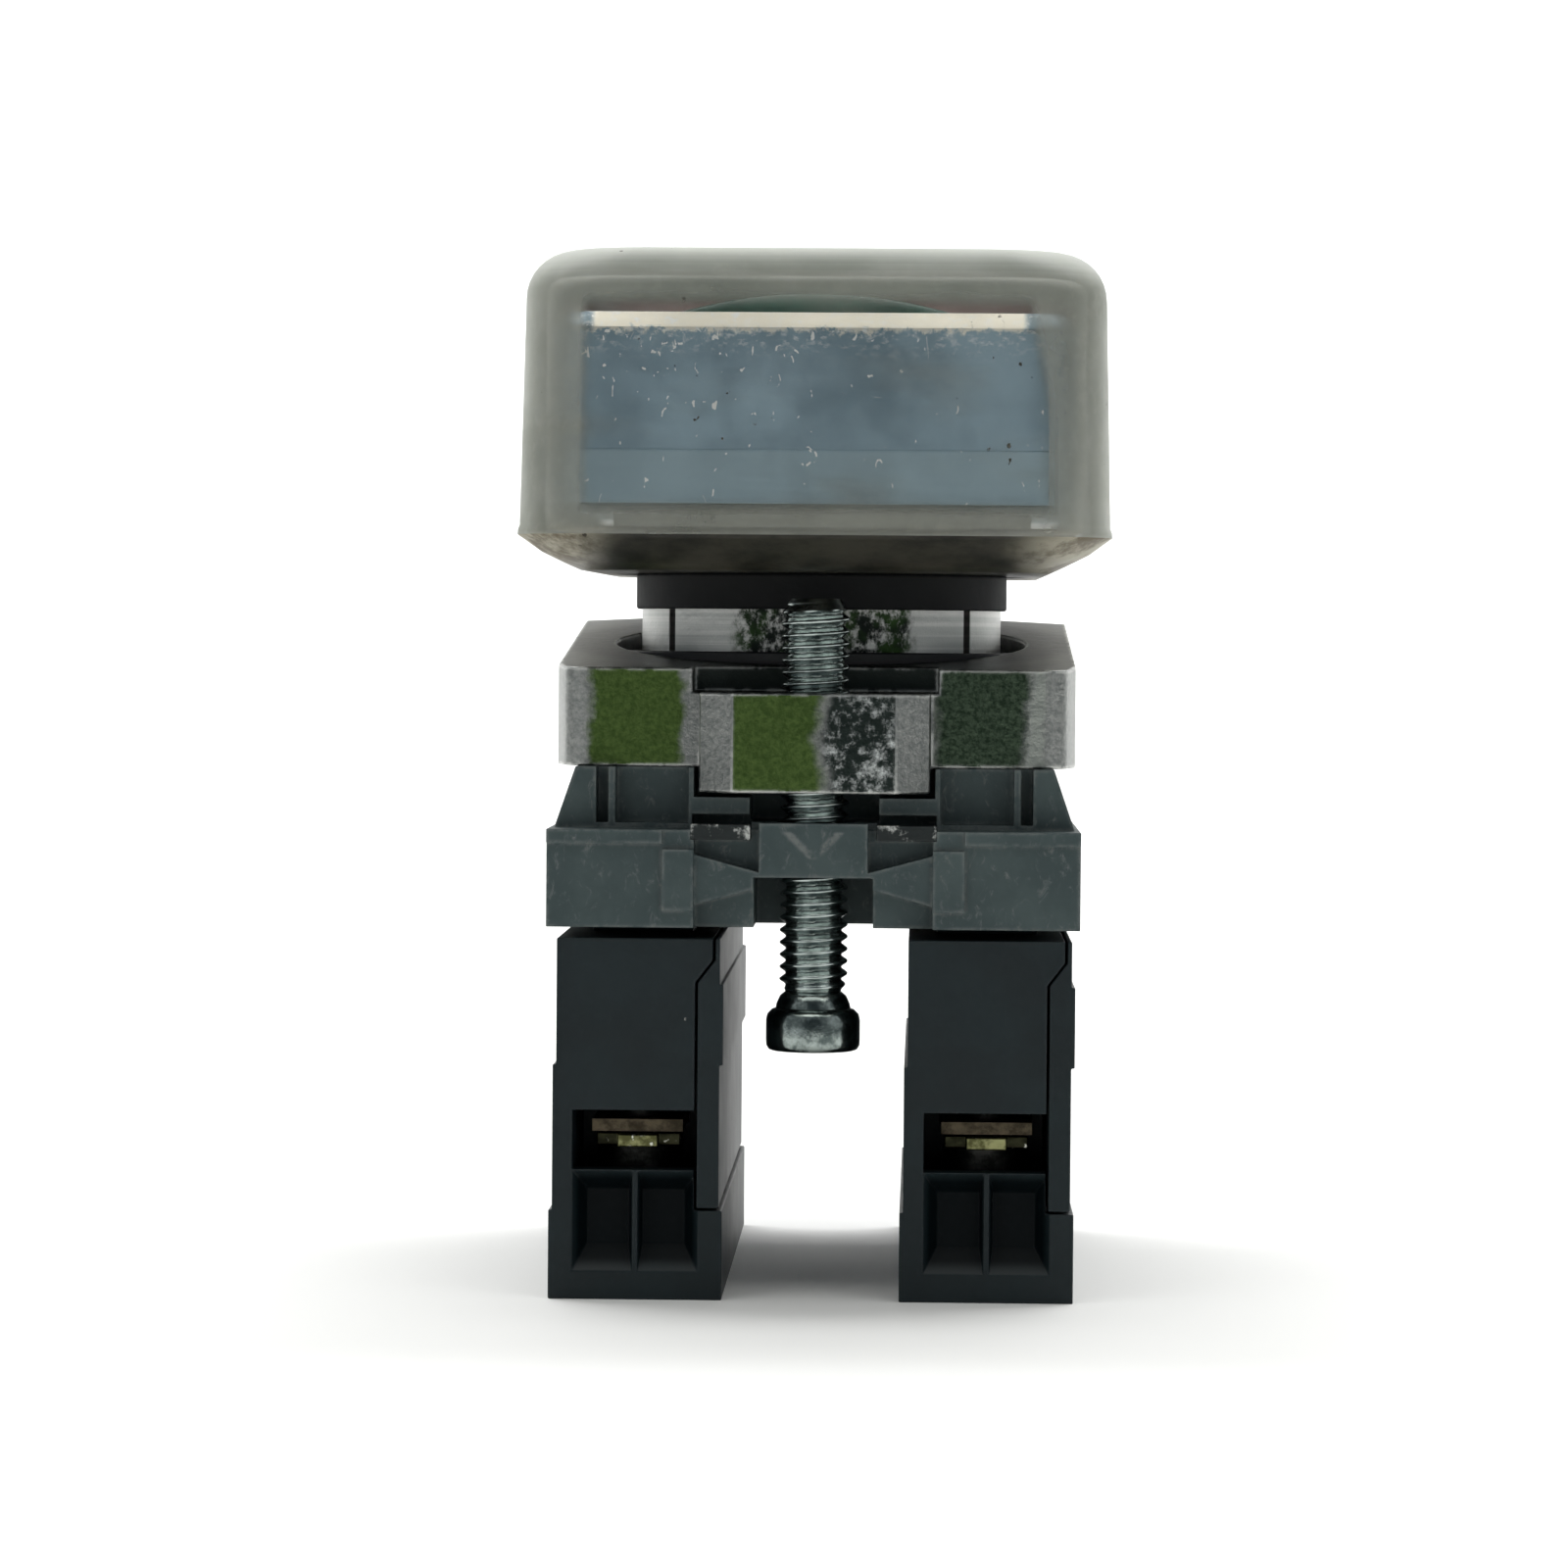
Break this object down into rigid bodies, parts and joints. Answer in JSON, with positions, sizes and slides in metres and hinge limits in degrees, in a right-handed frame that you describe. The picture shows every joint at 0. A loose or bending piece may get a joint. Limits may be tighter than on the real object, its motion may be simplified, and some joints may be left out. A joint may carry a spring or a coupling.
{
  "type": "industrial push button",
  "caption": "Double-headed 22 mm panel push button under a milky soft boot, with clamp collar, block carrier and screw-terminal contact blocks.",
  "frame": {"origin": "on the barrel's axis, at the rear faces of the contact blocks", "axes": "+Z out of the panel towards the operator, Y along the two buttons, -Y towards the green button and the clamp screw"},
  "size_m": [0.034, 0.054, 0.0595],
  "materials": {
    "boot_silicone": "translucent milky silicone, slightly yellowed",
    "bright_metal": "chrome-plated zinc",
    "cast_zinc": "zinc-plated die casting, rough as cast",
    "plated_screw": "bright zinc plate",
    "spring_steel": "bright spring steel",
    "contact_brass": "plated brass",
    "terminal_brass": "yellow passivated steel",
    "grey_plastic": "dark grey glass-filled polyamide, scuffed",
    "block_plastic": "near-black polyamide, fine grain",
    "black_plastic": "black polyamide",
    "black_rubber": "soft black rubber",
    "white_plastic": "natural acetal",
    "green_plastic": "green polyamide",
    "red_plastic": "red polyamide"
  },
  "bodies": {
    "base": {"clamp_collar": "cast_zinc", "block_carrier": "grey_plastic", "left_clip": "spring_steel", "right_clip": "spring_steel", "left_housing": "block_plastic", "left_cover": "block_plastic", "left_plunger_spring": "spring_steel", "left_near_contact": "contact_brass", "left_far_contact": "contact_brass", "right_housing": "block_plastic", "right_cover": "block_plastic", "right_plunger_spring": "spring_steel", "right_near_contact": "contact_brass", "right_far_contact": "contact_brass"},
    "head": {"boot": "boot_silicone", "bezel": "bright_metal", "button_separator": "black_plastic", "barrel": "bright_metal", "panel_sleeve": "black_plastic", "bezel_gasket": "black_rubber", "green_spring": "spring_steel", "red_spring": "spring_steel"},
    "green_actuator": {"green_button": "green_plastic", "green_pusher": "white_plastic"},
    "red_actuator": {"red_button": "red_plastic", "red_pusher": "white_plastic"},
    "lock": {"locking_ring": "black_plastic"},
    "clamp_screw": {"clamp_screw": "plated_screw"},
    "left_plunger": {"left_plunger": "white_plastic", "left_contact_bridge": "contact_brass"},
    "left_near_clamp": {"left_near_clamp_plate": "terminal_brass"},
    "left_near_screw": {"left_near_terminal_screw": "plated_screw"},
    "left_far_clamp": {"left_far_clamp_plate": "terminal_brass"},
    "left_far_screw": {"left_far_terminal_screw": "plated_screw"},
    "right_plunger": {"right_plunger": "white_plastic", "right_contact_bridge": "contact_brass"},
    "right_near_clamp": {"right_near_clamp_plate": "terminal_brass"},
    "right_near_screw": {"right_near_terminal_screw": "plated_screw"},
    "right_far_clamp": {"right_far_clamp_plate": "terminal_brass"},
    "right_far_screw": {"right_far_terminal_screw": "plated_screw"}
  },
  "joints": [
    {"name": "head_release", "type": "slide", "parent": "base", "child": "head", "axis": [0, 0, 1], "range_m": [0, 0.015]},
    {"name": "green_press", "type": "slide", "parent": "head", "child": "green_actuator", "axis": [0, 0, -1], "range_m": [0, 0.0035], "stiffness_N_per_m": 1150, "springref_m": -0.0018, "deforming": ["green_spring"]},
    {"name": "red_press", "type": "slide", "parent": "head", "child": "red_actuator", "axis": [0, 0, -1], "range_m": [0, 0.0035], "stiffness_N_per_m": 1150, "springref_m": -0.0018, "deforming": ["red_spring"]},
    {"name": "left_plunger_press", "type": "slide", "parent": "base", "child": "left_plunger", "axis": [0, 0, -1], "range_m": [0, 0.00355], "deforming": ["left_plunger_spring"]},
    {"name": "left_near_clamp_travel", "type": "slide", "parent": "base", "child": "left_near_clamp", "axis": [0, 0, -1], "range_m": [0, 0.0018]},
    {"name": "left_near_screw_turn", "type": "hinge", "parent": "left_near_clamp", "child": "left_near_screw", "pos_m": [-0.01, -0.0136, 0.006], "axis": [0, 0, -1], "range_deg": [0, 1090]},
    {"name": "left_far_clamp_travel", "type": "slide", "parent": "base", "child": "left_far_clamp", "axis": [0, 0, -1], "range_m": [0, 0.0018]},
    {"name": "left_far_screw_turn", "type": "hinge", "parent": "left_far_clamp", "child": "left_far_screw", "pos_m": [-0.01, 0.0136, 0.006], "axis": [0, 0, -1], "range_deg": [0, 1090]},
    {"name": "right_plunger_press", "type": "slide", "parent": "base", "child": "right_plunger", "axis": [0, 0, -1], "range_m": [0, 0.00355], "deforming": ["right_plunger_spring"]},
    {"name": "right_near_clamp_travel", "type": "slide", "parent": "base", "child": "right_near_clamp", "axis": [0, 0, -1], "range_m": [0, 0.0018]},
    {"name": "right_near_screw_turn", "type": "hinge", "parent": "right_near_clamp", "child": "right_near_screw", "pos_m": [0.01, -0.0136, 0.006], "axis": [0, 0, -1], "range_deg": [0, 1090]},
    {"name": "right_far_clamp_travel", "type": "slide", "parent": "base", "child": "right_far_clamp", "axis": [0, 0, -1], "range_m": [0, 0.0018]},
    {"name": "right_far_screw_turn", "type": "hinge", "parent": "right_far_clamp", "child": "right_far_screw", "pos_m": [0.01, 0.0136, 0.006], "axis": [0, 0, -1], "range_deg": [0, 1090]},
    {"name": "lock_turn", "type": "hinge", "parent": "base", "child": "lock", "pos_m": [0, 0, 0.036], "axis": [0, 0, 1], "range_deg": [0, 24]},
    {"name": "clamp_screw_travel", "type": "slide", "parent": "base", "child": "clamp_screw", "axis": [0, 0, 1], "range_m": [-0.0028, 0.001]}
  ],
  "couplings": [
    {"joint": "left_plunger_press", "follows": "green_press", "ratio": 1},
    {"joint": "left_near_screw_turn", "follows": "left_near_clamp_travel", "rad_per_m": 10472},
    {"joint": "left_far_screw_turn", "follows": "left_far_clamp_travel", "rad_per_m": 10472},
    {"joint": "right_plunger_press", "follows": "red_press", "ratio": 1},
    {"joint": "right_near_screw_turn", "follows": "right_near_clamp_travel", "rad_per_m": 10472},
    {"joint": "right_far_screw_turn", "follows": "right_far_clamp_travel", "rad_per_m": 10472}
  ]
}
